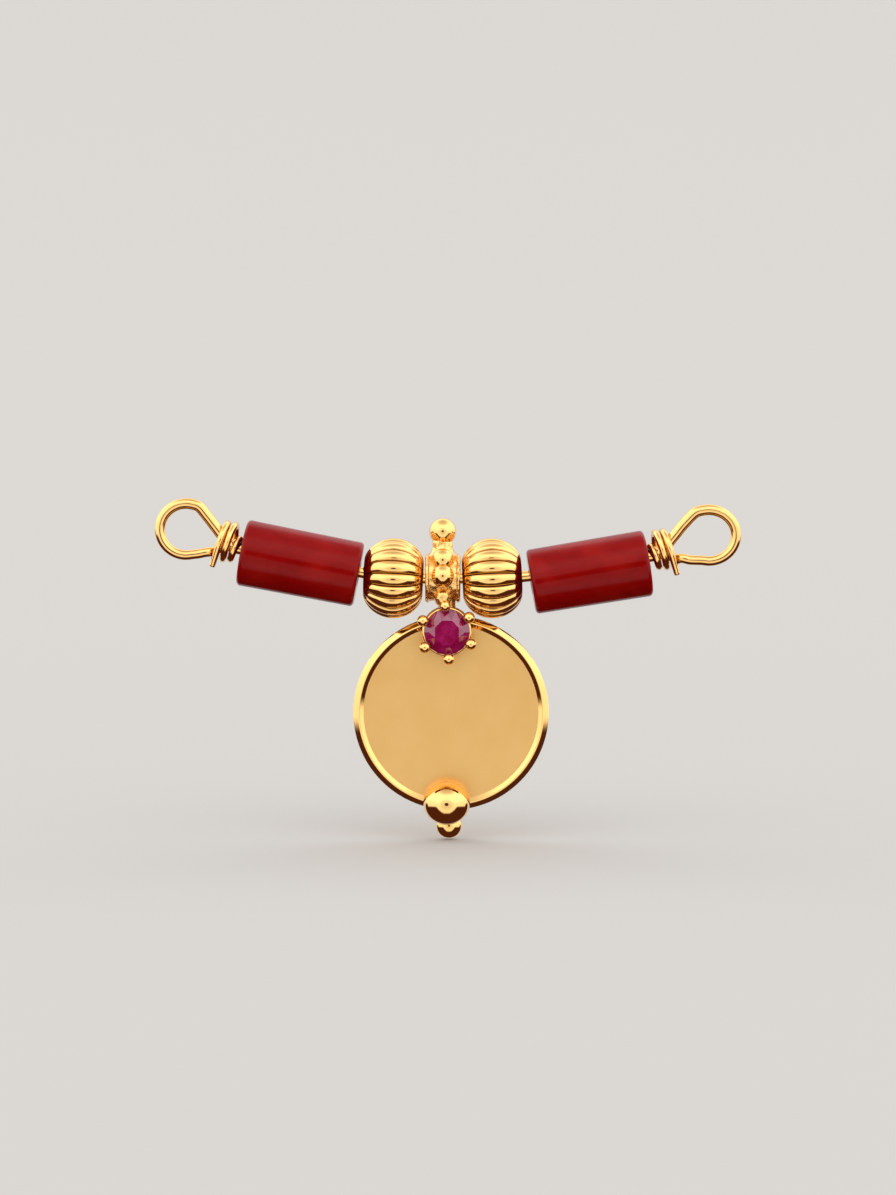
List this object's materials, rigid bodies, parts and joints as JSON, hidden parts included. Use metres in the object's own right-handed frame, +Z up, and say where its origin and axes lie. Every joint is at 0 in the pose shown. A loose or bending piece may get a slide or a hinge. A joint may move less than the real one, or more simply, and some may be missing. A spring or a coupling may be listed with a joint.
{
  "type": "mangalsutra pendant",
  "caption": "Gold disc drop with a ruby and foot balls, swinging by its bail on a stiff wire between ribbed gold beads and coral tubes; the wire ends in wrapped loops for a necklace.",
  "frame": {"origin": "middle of the line between the centres of the two wire loops, where a necklace holds the pendant", "axes": "+X to the viewer's right along the axis that the drop turns on, -Y to the front of the disc, +Z up"},
  "size_m": [0.0425, 0.0058, 0.0248],
  "materials": {
    "gold": "polished 22-karat yellow gold",
    "coral": "polished red coral",
    "ruby": "cut and polished ruby"
  },
  "bodies": {
    "wire": {"wire": "gold", "coral_left": "coral", "coral_right": "coral", "melon_bead_left": "gold", "melon_bead_right": "gold"},
    "thali": {"thali": "gold", "ruby": "ruby"}
  },
  "joints": [
    {"name": "thali_swing", "type": "hinge", "parent": "wire", "child": "thali", "pos_m": [-0.00034, 0, -0.00331], "axis": [1, 0, 0], "continuous": true}
  ]
}
